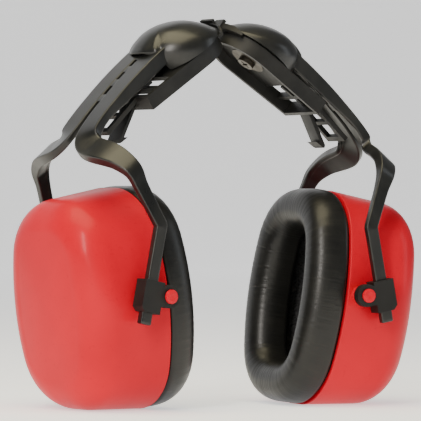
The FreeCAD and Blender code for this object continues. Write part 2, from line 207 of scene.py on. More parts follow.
# ---- shader maths as expressions ----
class Val:
    # wraps a socket or a number, so that sums on sockets add Math nodes
    def __init__(self, mat, link):
        self.mat, self.link = mat, link

    def __add__(self, other):
        return self.mat.node("ShaderNodeMath", {"operation": "ADD"}, {0: self, 1: other})

    def __mul__(self, other):
        return self.mat.node("ShaderNodeMath", {"operation": "MULTIPLY"}, {0: self, 1: other})

    def span(self, low, high, toLow=0.0, toHigh=1.0):
        sockets = {0: self, 1: low, 2: high, 3: toLow, 4: toHigh}
        return self.mat.node("ShaderNodeMapRange", {"clamp": True}, sockets)


class Mat:
    # a material with its Principled shader, and one method that adds any other node
    def __init__(self, name, roughness=0.4, **plain):
        self.data = bpy.data.materials.new(name)
        self.data.use_nodes = True
        self.tree = self.data.node_tree
        self.shader = self.tree.nodes["Principled BSDF"]
        self.shader.inputs["Roughness"].default_value = roughness
        for key, value in plain.items():
            self.shader.inputs[key.replace("_", " ")].default_value = value

    def node(self, kind, settings=None, sockets=None, out=0):
        made = self.tree.nodes.new(kind)
        for key, value in (settings or {}).items():
            setattr(made, key, value)
        for key, value in (sockets or {}).items():
            self.feed(made.inputs[key], value)
        return Val(self, made.outputs[out])

    def feed(self, socket, value):
        if isinstance(value, Val):
            self.tree.links.new(value.link, socket)
        else:
            socket.default_value = value

    def place(self, scale=(1, 1, 1), rotate=(0, 0, 0), source="Object"):
        where = self.node("ShaderNodeTexCoord", {}, {}, source)
        return self.node("ShaderNodeMapping", {}, {"Vector": where, "Scale": scale, "Rotation": rotate})

    def noise(self, scale, detail=4.0, rough=0.5, vector=None, distortion=0.0):
        vector = vector or self.place()
        values = {"Vector": vector, "Scale": scale, "Detail": detail, "Roughness": rough}
        values["Distortion"] = distortion
        return self.node("ShaderNodeTexNoise", {}, values, "Fac")

    def cells(self, scale):
        values = {"Vector": self.place(), "Scale": scale}
        return self.node("ShaderNodeTexVoronoi", {"feature": "F1"}, values, "Distance")

    def mix(self, share, first, second):
        sockets = {"Factor": share, 6: first, 7: second}
        return self.node("ShaderNodeMix", {"data_type": "RGBA"}, sockets, 2)

    def bump(self, height, distance, strength=1.0, normal=None):
        values = {"Height": height, "Distance": distance, "Strength": strength}
        if normal is not None:
            values["Normal"] = normal
        return self.node("ShaderNodeBump", {}, values)

    def edge(self):
        return self.node("ShaderNodeAttribute", {"attribute_name": "edge"}, {}, "Fac")

    def set(self, **links):
        for key, value in links.items():
            self.feed(self.shader.inputs[key.replace("_", " ")], value)
        return self.data


def redShell():
    # injection-moulded ABS: soft gloss, faint orange peel, slow drift of tone, a few hair scratches
    mat = Mat("red cup plastic", Coat_Weight=0.10, Coat_Roughness=0.16, Specular_IOR_Level=0.09)
    drift = mat.noise(26.0, 3.0, 0.5)
    fleck = mat.noise(420.0, 2.0, 0.6)
    tone = mat.mix(drift.span(0.35, 0.68), (0.49, 0.0018, 0.014, 1), (0.57, 0.0035, 0.018, 1))
    tone = mat.mix(fleck.span(0.62, 0.80, 0.0, 0.35), tone, (0.38, 0.0013, 0.010, 1))
    peel = mat.noise(900.0, 2.0, 0.5)
    scratch = mat.noise(60.0, 2.0, 0.7, mat.place((0.5, 9.0, 4.0), (0.4, 0.9, 0.2)))
    lines = scratch.span(0.66, 0.70)
    rough = drift.span(0.2, 0.8, 0.33, 0.43) + lines * 0.12
    low = mat.bump(peel, 0.00006, 0.55)
    return mat.set(Base_Color=tone, Roughness=rough, Normal=mat.bump(lines, 0.00003, 0.3, low))


def armPlastic():
    # black nylon with a satin skin: grain, flow marks along the strap and lighter rubbed edges
    mat = Mat("black arm plastic", Coat_Weight=0.06, Coat_Roughness=0.25, Specular_IOR_Level=0.4)
    grain = mat.noise(1500.0, 2.0, 0.6)
    flow = mat.noise(90.0, 4.0, 0.6, mat.place((1.0, 1.0, 0.35)))
    rub = mat.edge() * flow.span(0.42, 0.62)
    tone = mat.mix(flow.span(0.3, 0.7), (0.006, 0.0065, 0.0065, 1), (0.013, 0.013, 0.012, 1))
    tone = mat.mix(rub * 0.4, tone, (0.07, 0.068, 0.06, 1))
    rough = flow.span(0.3, 0.7, 0.27, 0.38) + rub * 0.1
    return mat.set(Base_Color=tone, Roughness=rough, Normal=mat.bump(grain, 0.00005, 0.35))


def clipPlastic(name, low, high, grainScale, roughLow, roughHigh):
    # matt black moulding with spark-eroded grain
    mat = Mat(name, Specular_IOR_Level=0.3)
    grain = mat.noise(grainScale, 3.0, 0.65)
    cloud = mat.noise(70.0, 4.0, 0.6)
    tone = mat.mix(cloud.span(0.35, 0.7), (low, low, low, 1), (high, high, high * 0.95, 1))
    rough = cloud.span(0.3, 0.7, roughLow, roughHigh)
    return mat.set(Base_Color=tone, Roughness=rough, Normal=mat.bump(grain, 0.00008, 0.5))


def leatherette():
    # thin vinyl skin stretched over foam: fine gathers across the band, pores, and a painted sheen: the gathers'
    # ridges are painted a lighter, warmer tone
    mat = Mat("cushion leatherette", Specular_IOR_Level=0.34)
    across = mat.place((300.0, 2.4, 1.0), source="UV")
    gather = mat.noise(1.0, 3.0, 0.55, across, 0.6)
    wide = mat.noise(1.0, 2.0, 0.5, mat.place((86.0, 1.6, 1.0), source="UV"), 0.8)
    pores = mat.cells(1100.0)
    cloud = mat.noise(60.0, 3.0, 0.6)
    tone = mat.mix(cloud.span(0.3, 0.7), (0.006, 0.006, 0.006, 1), (0.011, 0.011, 0.010, 1))
    # painted sheen: the ridges of the gathers get a lighter, warmer colour that stands in for highlights on the
    # wrinkles
    tone = mat.mix(gather.span(0.55, 0.75, 0.0, 0.4), tone, (0.020, 0.019, 0.016, 1))
    rough = gather.span(0.3, 0.7, 0.30, 0.42)
    low = mat.bump(wide, 0.00024, 0.4, mat.bump(pores, 0.00004, 0.35))
    return mat.set(Base_Color=tone, Roughness=rough, Normal=mat.bump(gather, 0.00014, 0.5, low))


def foam(name, low, high):
    # open-cell foam: bubbles whose pits are painted darker, a painted shade in the hollows
    mat = Mat(name, 0.95, Specular_IOR_Level=0.2)
    cells = mat.cells(900.0)
    lumps = mat.noise(160.0, 4.0, 0.6)
    # painted shade: the cell centres, which the bump sinks into pits, get the dark colour
    tone = mat.mix(cells.span(0.1, 0.6), low, high)
    height = cells * 0.6 + lumps * 0.8
    rough = cells.span(0.0, 0.6, 0.98, 0.82)
    return mat.set(Base_Color=tone, Roughness=rough, Normal=mat.bump(height, 0.0006, 0.9))


def steel(name, tone, roughness):
    # zinc-plated steel, lathe-turned: fine rings of roughness and a little staining
    mat = Mat(name, roughness, Metallic=1.0)
    stain = mat.noise(300.0, 4.0, 0.6)
    grain = mat.noise(2600.0, 2.0, 0.5)
    colour = mat.mix(stain.span(0.3, 0.75), tone, tuple(0.72 * c for c in tone[:3]) + (1,))
    rough = stain.span(0.3, 0.7, roughness - 0.06, roughness + 0.12)
    return mat.set(Base_Color=colour, Roughness=rough, Normal=mat.bump(grain, 0.00003, 0.3))


red = redShell()
armBlack = armPlastic()
clipBlack = clipPlastic("black clip plastic", 0.006, 0.013, 1100.0, 0.42, 0.56)
blockBlack = clipPlastic("black block plastic", 0.005, 0.010, 1500.0, 0.50, 0.66)
plateBlack = clipPlastic("black seal ring plastic", 0.005, 0.010, 1300.0, 0.34, 0.46)
skinBlack = leatherette()
linerFoam = foam("charcoal foam", (0.010, 0.010, 0.011, 1), (0.040, 0.040, 0.042, 1))
# painted shade: the zinc tone is set dark and brownish to stand in for the shade under the hood, where the screw
# and washers sit
zinc = steel("zinc-plated steel painted dark as shade", (0.10, 0.09, 0.075, 1), 0.45)
springSteel = steel("spring steel", (0.12, 0.12, 0.13, 1), 0.38)
print("materials made")


# ---- cup ----
def outline(inset, deep):
    # a quarter is a flat, a corner arc and a bowed side arc that meet smoothly; four quarters close the ring
    size = cupSize
    side = size["halfWidth"] - inset - deep * math.tan(math.radians(size["sideDraft"]))
    top = size["halfHeight"] - inset - deep * math.tan(math.radians(size["topDraft"]))
    under = size["halfHeight"] - inset - deep * math.tan(math.radians(size["underDraft"]))
    flat = size["flat"]
    room = side - flat
    r = min(size["corner"] - inset, 0.9 * room)
    parts = []
    quarters = ((1, 1, top), (1, -1, under), (-1, -1, under), (-1, 1, top))
    for sideSign, riseSign, level in quarters:
        bow = (room ** 2 + (level - r) ** 2 - r ** 2) / (2 * (room - r))
        meet = math.atan2(level - r, flat - side + bow)
        straight = np.linspace(0, flat, size["flatSteps"])[:-1]
        corner = np.linspace(math.pi / 2, meet, size["cornerSteps"])[:-1]
        bend = np.linspace(meet, 0, size["sideSteps"])
        y = np.concatenate([straight, flat + r * np.cos(corner), side - bow + bow * np.cos(bend)])
        z = np.concatenate([np.full(len(straight), level), level - r + r * np.sin(corner), bow * np.sin(bend)])
        if sideSign * riseSign < 0:
            y, z = y[::-1], z[::-1]
        parts.append(np.stack([sideSign * y, riseSign * z], -1)[:-1])
    return np.concatenate(parts)


def cupRing(reach, inset, share=1.0):
    # the outline at a depth, drawn in by inset, then scaled by share towards the middle
    flat = outline(inset, max(reach, 0)) * share
    return np.concatenate([np.full((len(flat), 1), float(reach)), flat], -1)


def cupSkin(inset, depth, roundOver, dome, steps):
    # profile from the mouth to the pole: drafted wall, quarter-round corner, then a slightly domed face
    rings = [cupRing(reach, inset) for reach in np.linspace(0, depth - roundOver, steps)]
    for turn in np.linspace(0, math.pi / 2, steps + 6)[1:]:
        reach = depth - roundOver * (1 - math.sin(turn))
        rings.append(cupRing(reach, inset + roundOver * (1 - math.cos(turn))))
    edge = len(rings)
    shares = np.linspace(1, cupSize["pole"], steps + 6)[1:]
    rings += [cupRing(depth, inset + roundOver, share) for share in shares]
    rings = np.array(rings)
    rings[edge:, :, 0] += dome * (1 - shares[:, None] ** 2)
    return rings


def makeCup(hand):
    size = cupSize
    wall, ease = size["wall"], size["lipEase"]
    outer = cupSkin(0.0, size["depth"], size["round"], size["dome"], 14)
    inner = cupSkin(wall, size["depth"] - wall, size["round"] - wall, size["dome"], 6)
    lip = np.array([cupRing(0.0, ease), cupRing(0.0, wall - ease)])
    outer[0, :, 0] += ease
    inner[0, :, 0] += ease
    rings = np.concatenate([inner[::-1], lip[::-1], outer])
    shells = [shell(inCup(rings))]
    for side in (-1, 1):
        shells.append(makePin(side))
    piece(hand + "CupShell", shells, hand, red, hand + "_cup", (hand + "_cup_shell",), 30.0)


pinSize = {
    "shaft": 2.5, "head": 3.2, "shoulder": 3.8, "wallSide": 35.5, "coneStart": 38.4,
    "coneEnd": 39.4, "shoulderEnd": 41.8, "headStart": 46.4, "headEnd": 47.9, "crown": 0.35,
}


def makePin(side):
    # a turned profile (radius, distance from the middle) spun about the pin's axis
    size = pinSize
    shaft, head, foot = size["shaft"], size["head"], size["shoulder"]
    stop, under, top, crown = size["shoulderEnd"], size["headStart"], size["headEnd"], size["crown"]
    profile = [
        (foot + 0.5, size["wallSide"]), (foot + 0.2, size["coneStart"]), (foot, size["coneEnd"]),
        (foot, stop - 0.4), (foot - 0.4, stop), (shaft, stop), (shaft, under), (head - 0.15, under),
        (head, under + 0.15), (head, top - 0.45), (head - 0.12, top - 0.18), (head - 0.45, top),
        (head - 0.9, top + 0.06), (head * 0.55, top + crown * 0.6), (head * 0.45, top + crown * 0.35),
        (0.05, top + crown * 0.3),
    ]
    spin = np.linspace(0, 2 * math.pi, 48, endpoint=False)
    rings = [
        np.stack([pinReach + r * np.cos(spin), np.full_like(spin, side * d), pinHeight + r * np.sin(spin)], -1)
        for r, d in profile
    ]
    return shell(np.array(rings))


# ---- cushion ----
cushionSize = {
    "front": -18.3, "back": -0.35, "band": 19.8, "inset": -0.15, "frontPower": 2.25, "backPower": 5.0,
    "cheek": 5.5, "clamped": 1.2, "through": 44, "cap": 0.9, "shrink": 0.97, "fine": 3,
}
clothSize = {"quality": 6, "mass": 0.15, "stretch": 12, "bend": 0.35, "pressure": 3.0, "frames": 20}
gatherSize = {"waves": (61, 83, 107, 139), "seed": 7, "all": 0.012, "crown": 0.022, "mouth": 0.018}


def cushionGrid(size):
    # a section that is round in front and square at the back, carried round the cup's outline
    turn = np.linspace(0, 2 * math.pi, size["through"], endpoint=False)
    c, s = np.cos(turn), np.sin(turn)
    power = np.where(s > 0, 2 / size["frontPower"], 2 / size["backPower"])
    half = size["band"] / 2 * size["shrink"]
    inset = size["inset"] + size["band"] / 2 - half * np.sign(c) * np.abs(c) ** power
    middle = size["back"] - size["cheek"]
    deep = np.where(s > 0, (middle - size["front"]) * size["shrink"], size["back"] - middle)
    reach = middle - deep * np.sign(s) * np.abs(s) ** power
    rings = []
    for draw, depth in zip(inset, reach):
        ring = cupRing(0, draw)
        ring[:, 0] = depth
        rings.append(ring)
    return np.array(rings)


def swell(grid, size):
    # cloth under inner pressure, pinned where the skin is clamped at the back; no point moves past the cap
    facts = clothSize
    rows, cols = grid.shape[:2]
    mesh = bpy.data.meshes.new("cushion cloth")
    mesh.from_pydata((grid.reshape(-1, 3) * mm).tolist(), [], shell(grid, True)[1].tolist())
    obj = bpy.data.objects.new("cushion cloth", mesh)
    bpy.context.scene.collection.objects.link(obj)
    held = obj.vertex_groups.new(name="held")
    clamp = np.flatnonzero(grid[:, :, 0].reshape(-1) > size["back"] - size["clamped"])
    held.add(clamp.tolist(), 1.0, "REPLACE")
    cloth = obj.modifiers.new("cloth", "CLOTH")
    cloth.settings.quality = facts["quality"]
    cloth.settings.mass = facts["mass"]
    cloth.settings.tension_stiffness = facts["stretch"]
    cloth.settings.compression_stiffness = facts["stretch"]
    cloth.settings.bending_stiffness = facts["bend"]
    cloth.settings.use_pressure = True
    cloth.settings.uniform_pressure_force = facts["pressure"]
    cloth.settings.effector_weights.gravity = 0
    cloth.settings.vertex_group_mass = "held"
    cloth.point_cache.frame_start = 1
    cloth.point_cache.frame_end = facts["frames"]
    scene = bpy.context.scene
    for number in range(1, facts["frames"] + 1):
        scene.frame_set(number)
    settled = obj.evaluated_get(bpy.context.evaluated_depsgraph_get()).to_mesh()
    moved = np.empty(len(mesh.vertices) * 3)
    settled.vertices.foreach_get("co", moved)
    moved = moved.reshape(rows, cols, 3) / mm
    scene.frame_set(1)
    bpy.data.objects.remove(obj)
    step = moved - grid
    length = np.linalg.norm(step, axis=-1, keepdims=True)
    print("cushion cloth moved up to", round(float(length.max()), 2), "mm")
    return grid + step * np.minimum(1, size["cap"] / np.maximum(length, 1e-6))


def refine(grid, times, axis):
    # cubic interpolation along a closed axis: each span is cut into equal parts
    p0, p1, p2, p3 = (np.roll(grid, shift, axis) for shift in (1, 0, -1, -2))
    parts = []
    for t in np.arange(times) / times:
        w0 = -0.5 * t + t * t - 0.5 * t ** 3
        w1 = 1 - 2.5 * t * t + 1.5 * t ** 3
        w2 = 0.5 * t + 2 * t * t - 1.5 * t ** 3
        w3 = -0.5 * t * t + 0.5 * t ** 3
        parts.append(w0 * p0 + w1 * p1 + w2 * p2 + w3 * p3)
    shape = list(grid.shape)
    shape[axis] *= times
    return np.stack(parts, axis + 1).reshape(shape)


def gridNormals(grid):
    across = np.roll(grid, -1, 1) - np.roll(grid, 1, 1)
    along = np.roll(grid, -1, 0) - np.roll(grid, 1, 0)
    normal = np.cross(across, along)
    return normal / np.maximum(np.linalg.norm(normal, axis=-1, keepdims=True), 1e-9)


def gathers(rows, cols, seed):
    # sums of slanted waves across the band, whose strength drifts round it as a skin gathers over a curve
    allWaves = gatherSize["waves"]
    rng = np.random.default_rng(seed)
    u = np.arange(cols)[None, :] / cols * 2 * math.pi
    v = np.arange(rows)[:, None] / rows * 2 * math.pi
    height = np.zeros((rows, cols))
    for waves in allWaves:
        phase, slant, drift = rng.uniform(0, 6.28, 3)
        strength = 0.5 + 0.5 * np.sin(u * rng.integers(2, 5) + drift) * np.cos(v + slant)
        height += strength * np.sin(waves * u + phase + 1.3 * np.sin(v + slant)) / waves
    return height * allWaves[0]


def makeCushion(hand, number):
    size, folds = cushionSize, gatherSize
    grid = cushionGrid(size)
    grid = swell(grid, size)
    grid = refine(refine(grid, size["fine"], 1), 2, 0)
    rows, cols = grid.shape[:2]
    turn = np.linspace(0, 2 * math.pi, rows, endpoint=False)[:, None]
    front = np.clip(np.sin(turn), 0, 1) ** 0.6
    inner = smoothStep(-np.cos(turn), 0.0, 0.9)
    normal = gridNormals(grid)
    outward = np.sign(((grid - grid.mean(0)) * normal).sum(-1).mean())
    share = folds["all"] + folds["crown"] * front * (1 - inner) + folds["mouth"] * inner
    ripple = gathers(rows, cols, folds["seed"] + number) * share
    grid = grid + normal * outward * ripple[..., None]
    obj = piece(hand + "CushionSkin", [shell(inCup(grid), True)], hand, skinBlack, hand + "_cup",
                (hand + "_cushion_cover", hand + "_cushion_foam"), 60.0)


# ---- seal ring between cup and cushion, and the foam in the cup ----
flangeSize = {"inset": 2.85, "low": 0.05, "high": 2.2, "border": 13.4, "edge": 0.4}


def makeFlange(hand):
    # a flat section with eased corners, carried round the outline just inside the cup's mouth
    size = flangeSize
    edge, low, high, inner, outer = (size[key] for key in ("edge", "low", "high", "border", "inset"))
    section = [
        (inner, low + edge), (inner, high - edge), (inner - edge, high), (outer + edge, high),
        (outer, high - edge), (outer, low + edge), (outer + edge, low), (inner - edge, low),
    ]
    rings = []
    for inset, reach in section:
        ring = cupRing(0, inset)
        ring[:, 0] = reach
        rings.append(ring)
    piece(hand + "SealRing", [shell(inCup(np.array(rings)), True)], hand, plateBlack, hand + "_cup",
          (hand + "_seal_plate",), 30.0)


linerSize = {
    "gap": 2.9, "thick": 7.0, "mouth": 2.6, "depth": 38.0, "fold": 0.9, "foldPlace": 9.0, "foldWidth": 1.1,
    "outerWall": 13, "outerRise": 11, "outerDraw": 12, "pocketRound": 9, "pocketLift": 1.5,
    "lip": 1.6, "lipHalf": 1.8,
}


def makeLiner(hand):
    # an outer bowl and a softer inner pocket; the pocket's wall swells and dips, with one upright fold
    size = linerSize
    gap, mouth, bend, lipRise = size["gap"], size["mouth"], size["pocketRound"], size["lip"]
    wallEnd = size["depth"] - size["outerWall"]
    outer, inner, lip = [], [], []
    for reach in np.linspace(mouth, wallEnd, 8):
        outer.append(cupRing(reach, gap))
    for turn in np.linspace(0, math.pi / 2, 8)[1:]:
        drawn = gap + size["outerDraw"] * (1 - math.cos(turn))
        outer.append(cupRing(wallEnd + size["outerRise"] * math.sin(turn), drawn))
    for share in (0.7, 0.4, 0.05):
        outer.append(cupRing(wallEnd + size["outerRise"], gap + size["outerDraw"], share))
    floor = size["depth"] - size["thick"] - size["pocketLift"]
    border = gap + size["thick"]
    for reach in np.linspace(mouth + lipRise, floor - bend, 14):
        inner.append(cupRing(reach, border))
    for turn in np.linspace(0, math.pi / 2, 12)[1:]:
        inner.append(cupRing(floor - bend + bend * math.sin(turn), border + bend * (1 - math.cos(turn))))
    for share in np.linspace(1, 0.05, 12)[1:]:
        inner.append(cupRing(floor, border + bend, share))
    half = size["lipHalf"]
    for turn in np.linspace(0, math.pi, 7)[1:-1]:
        lip.append(cupRing(mouth + lipRise - lipRise * math.sin(turn), border - half + half * math.cos(turn)))
    inner = np.array(inner)
    deep, across, tall = inner[..., 0], inner[..., 1], inner[..., 2]
    lumps = 0.45 * np.sin(across * 0.31 + 1.0) * np.sin(tall * 0.23) + 0.2 * np.sin(tall * 0.61 + deep * 0.4)
    inner[..., 0] += lumps * smoothStep(deep, 6, 18)
    crease = size["fold"] * np.exp(-((across - size["foldPlace"]) / size["foldWidth"]) ** 2) * (deep > 14)
    inner[..., 0] -= crease
    rings = np.concatenate([outer[::-1], lip[::-1], inner])
    piece(hand + "FoamLiner", [shell(inCup(rings))], hand, linerFoam, hand + "_cup",
          (hand + "_foam_liner",), 60.0)


# ---- arm: two straps that run into the fork's limbs and legs, a hood, ribs and the journal ----
strapSize = {
    "width": 11.3, "slot": 2.4, "thick": 2.6, "skirtWall": 2.3, "corner": 0.75, "cornerShare": 0.45,
    "legWidth": 5.8, "legThick": 3.4, "legSide": 42.5, "spacing": 1.0, "centredFrom": 66, "centredAt": 96,
}
legEnd, legKink = (70.4, 40.4), (61.7, 84.3)
# blade stations: s and n on its top face, and how deep its outer edge hangs
bladeLine = [(24.0, 18.5, 7.2), (40.0, 17.9, 7.2), (55.0, 16.5, 6.8), (68.0, 14.5, 5.6), (79.0, 12.4, 4.4)]
# limb stations: the point, then the face's normal as a share of the blade's plus an X and a Y lean,
# then width, thickness and edge depth
limbLine = [
    ((77.6, 7.4, 127.0), 1.0, (0.0, 0.0), (11.4, 3.0, 4.8)),
    ((79.6, 9.4, 122.8), 1.0, (0.05, 0.02), (11.9, 3.4, 5.0)),
    ((80.2, 13.2, 119.9), 1.0, (0.10, 0.04), (12.3, 4.0, 5.2)),
    ((79.4, 18.4, 118.1), 1.0, (0.10, 0.12), (12.3, 4.7, 5.4)),
    ((77.6, 24.4, 116.1), 0.92, (0.08, 0.32), (11.5, 5.1, 5.3)),
    ((75.4, 30.5, 113.2), 0.62, (0.04, 0.66), (9.9, 4.9, 5.0)),
    ((72.5, 36.0, 108.5), 0.25, (0.0, 0.94), (8.1, 4.4, 4.5)),
]


def alongCurve(points, spacing):
    # Catmull-Rom through the points, then evenly spaced; every column is carried along
    points = np.asarray(points, float)
    ends = np.concatenate([[2 * points[0] - points[1]], points, [2 * points[-1] - points[-2]]])
    parts = []
    for k in range(len(points) - 1):
        t = np.linspace(0, 1, 25)[:, None]
        p0, p1, p2, p3 = ends[k:k + 4]
        parts.append(0.5 * (2 * p1 + (p2 - p0) * t + (2 * p0 - 5 * p1 + 4 * p2 - p3) * t ** 2
                            + (3 * p1 - p0 - 3 * p2 + p3) * t ** 3))
    fine = np.concatenate(parts)
    run = np.concatenate([[0], np.cumsum(np.linalg.norm(np.diff(fine[:, :3], axis=0), axis=1))])
    even = np.linspace(0, run[-1], int(run[-1] / spacing) + 1)
    return np.stack([np.interp(even, run, fine[:, k]) for k in range(fine.shape[1])], -1)


def roundedProfile(corners, radius, steps=6, share=strapSize["cornerShare"]):
    # corners (stations, n, 2) of a closed outline, each eased over radius or a share of its own sides
    before = np.roll(corners, 1, 1) - corners
    after = np.roll(corners, -1, 1) - corners
    lenBefore = np.linalg.norm(before, axis=-1, keepdims=True)
    lenAfter = np.linalg.norm(after, axis=-1, keepdims=True)
    reachBefore = before / np.maximum(lenBefore, 1e-9) * np.minimum(radius, lenBefore * share)
    reachAfter = after / np.maximum(lenAfter, 1e-9) * np.minimum(radius, lenAfter * share)
    points, marks = [], []
    for k in range(corners.shape[1]):
        tip = corners[:, k]
        start, end = tip + reachBefore[:, k], tip + reachAfter[:, k]
        points.append(start + reachBefore[:, k] * 0.35)
        marks.append(0.0)
        for t in np.linspace(0, 1, steps):
            points.append((1 - t) ** 2 * start + 2 * t * (1 - t) * tip + t * t * end)
            marks.append(1.0 if 0.2 < t < 0.8 else 0.3)
        points.append(end + reachAfter[:, k] * 0.35)
        marks.append(0.0)
    return np.stack(points, 1), np.array(marks)


def sweep(path, normals, profile):
    # carries each station's profile (across, depth) along the path; depth runs against the face's normal
    ahead = np.gradient(path, axis=0)
    ahead /= np.linalg.norm(ahead, axis=1, keepdims=True)
    across = np.cross(normals, ahead)
    across /= np.linalg.norm(across, axis=1, keepdims=True)
    out = np.cross(ahead, across)
    return path[:, None] + profile[..., :1] * across[:, None] - profile[..., 1:] * out[:, None]


def makeStrap(side):
    size = strapSize
    mid = (size["slot"] + size["width"]) / 2
    up = np.array([sinSlope, 0, cosSlope])
    rows = []
    for s, n, skirt in bladeLine:
        x, y, z = inClip(np.array([s, mid, n]))
        rows.append([x, y, z, *up, size["width"], size["thick"], skirt])
    for point, share, lean, section in limbLine:
        rows.append([*point, *(up * share + [*lean, 0]), *section])
    x0, z0 = legKink
    shoulder = np.array(limbLine[-1][0])
    kink = np.array([x0, size["legSide"], z0])
    down = np.array([legEnd[0] - x0, 0, legEnd[1] - z0])
    down /= np.linalg.norm(down)
    inwards = (shoulder - kink) / np.linalg.norm(shoulder - kink)
    flat = [0.0, 1.0, 0.03]
    straight = size["legWidth"]
    for point, face, width in (
        (kink + inwards * 20, up * 0.08 + [0, 1.0, 0], 6.6), (kink + inwards * 11, flat, 6.1),
        (kink + inwards * 3.2, flat, 5.9), (kink + down * 0.4, flat, 5.9),
        (kink + down * 3.6, flat, straight), (kink + down * 20, flat, straight),
        (np.array([legEnd[0], size["legSide"], legEnd[1]]), flat, straight),
    ):
        rows.append([*point, *face, width, size["legThick"], size["legThick"] + 0.05])
    line = alongCurve(rows, size["spacing"])
    path, normals = line[:, :3], line[:, 3:6]
    half, thick = line[:, 6] / 2, line[:, 7]
    skirt = np.maximum(line[:, 8], thick + 0.05)
    wall = size["skirtWall"]
    zero = np.zeros_like(half)
    corners = np.stack([
        np.stack([-half, zero], -1), np.stack([half, zero], -1), np.stack([half, skirt], -1),
        np.stack([half - wall, skirt], -1), np.stack([half - wall, thick], -1), np.stack([-half, thick], -1),
    ], 1)
    profile, marks = roundedProfile(corners, size["corner"])
    centred = smoothStep(np.arange(len(half)), size["centredFrom"], size["centredAt"])
    profile = profile - np.stack([zero, thick / 2 * centred], 1)[:, None]
    rings = sweep(path, normals, profile)
    first, last = rings[:1], rings[-1:]
    root, tip = first.mean(1, keepdims=True), last.mean(1, keepdims=True)
    ahead = path[-1] - path[-2]
    ends = [tip + (last - tip) * share + ahead * reach for share, reach in ((0.93, 0.25), (0.80, 0.4))]
    rings = np.concatenate([root + (first - root) * 0.9, rings, *ends])
    rings[..., 1] *= side
    return shell(rings, mark=marks[None, :])


hoodSize = {
    "radius": 20.8, "base": 7.35, "strapBase": 16.8, "gapBase": 19.3, "ballReach": 28.0, "ballTop": 23.5,
    "ball": 34.0, "power": 4.2, "wall": 2.0, "around": 144,
    "strapFrom": 0.80, "strapTo": 0.88, "gapFrom": 0.90,     # cosines of the angle from the straps' direction
}


def hoodTop(s, y, drop=0.0):
    # the crown's height: a ball whose middle lies under the hood's lower end
    size = hoodSize
    ball = size["ball"] - drop
    flat = ball ** 2 - (s - size["ballReach"]) ** 2 - y ** 2
    return size["ballTop"] - size["ball"] + np.sqrt(np.maximum(flat, 1.0))


def hoodSkin(radius, drop, turns, lifts):
    # radius * sin^(2/p) outwards and height * cos^(2/p) upwards, so that the wall stands upright at the rim;
    # towards the straps the rim rises into them, then over them, and leaves a crescent gap
    size = hoodSize
    power = 2 / size["power"]
    lean = np.cos(turns)
    base = size["base"] + (size["strapBase"] - size["base"]) * smoothStep(lean, size["strapFrom"], size["strapTo"])
    base = base + (size["gapBase"] - size["strapBase"]) * smoothStep(lean, size["gapFrom"], 1.0)
    rings = []
    for lift in lifts:
        r = radius * math.sin(lift) ** power
        s, y = hubReach + r * np.cos(turns), r * np.sin(turns)
        height = (hoodTop(s, y, drop) - base) * math.cos(lift) ** power
        rings.append(np.stack([s, y, base + height], -1))
    return np.array(rings)


def makeHood():
    size = hoodSize
    turns = np.linspace(0, 2 * math.pi, size["around"], endpoint=False)
    upper, lower = np.linspace(0.0004, 0.25, 8), np.linspace(0.25, math.pi / 2 - 0.0005, 34)
    lifts = np.concatenate([upper, lower[1:]])
    outer = hoodSkin(size["radius"], 0.0, turns, lifts)
    inner = hoodSkin(size["radius"] - size["wall"], size["wall"], turns, lifts[::-3])
    rim = outer[-1:].copy()
    return shell(inClip(np.concatenate([outer, rim * 0.5 + inner[:1] * 0.5, inner])))


def bar(start, end, width, height, corner):
    # a straight bar in the adapter's frame with eased edges; width lies along Y
    start, end = np.asarray(start, float), np.asarray(end, float)
    w, h = width / 2, height / 2
    corners = np.array([[[-w, -h], [w, -h], [w, h], [-w, h]]])
    profile, marks = roundedProfile(corners, corner, 4)
    ahead = (end - start) / np.linalg.norm(end - start)
    across = np.array([0.0, 1.0, 0.0]) if abs(ahead[1]) < 0.9 else np.array([1.0, 0.0, 0.0])
    up = np.cross(ahead, across)
    up /= np.linalg.norm(up)
    across = np.cross(up, ahead)
    rings = []
    length = np.linalg.norm(end - start)
    eases = ((0, 0.86), (corner * 0.4, 0.96), (corner, 1))
    for reach, share in eases + tuple((length - reach, share) for reach, share in reversed(eases)):
        flat = profile[0] * share
        rings.append(start + ahead * reach + flat[:, :1] * across + flat[:, 1:] * up)
    return shell(inClip(np.array(rings)), mark=marks[None, :])


def spun(profile, reach, count=64):
    # a turned part about the hub's axis, from (radius, height) pairs
    turn = np.linspace(0, 2 * math.pi, count, endpoint=False)
    rings = [
        np.stack([reach + r * np.cos(turn), r * np.sin(turn), np.full_like(turn, n)], -1) for r, n in profile
    ]
    return shell(inClip(np.array(rings)))


ribSize = {
    "starts": (37.5, 46.5, 56.0, 66.0), "length": 4.4, "drop": 1.12, "width": 4.4, "height": 2.0, "corner": 0.2,
}
# hood webs, as (radius, height) of both ends, and the journal's turned profile
webSize = {
    "turns": (90.0, 40.0), "inner": (4.5, 13.5), "outer": (18.6, 11.5), "width": 1.3, "height": 4.5,
    "corner": 0.2,
}
journalLine = [
    (0.02, 19.5), (5.05, 19.5), (5.05, 4.3), (4.7, 3.9), (2.4, 3.9), (2.0, 4.3), (2.0, 12.0), (0.02, 12.0),
]


def bladeHeight(s):
    line = np.array(bladeLine)
    return float(np.interp(s, line[:, 0], line[:, 1]))


collarSize = {
    "span": 46.0, "fade": 16.0, "foot": 7.0, "lowest": 0.15, "around": 60,
    "section": [
        (18.6, 5.6), (22.3, 5.6), (22.5, 5.8), (22.5, 8.4), (22.2, 8.7), (21.6, 8.7), (21.3, 8.4), (21.3, 6.95),
        (21.1, 6.8), (18.6, 6.8),
    ],
}


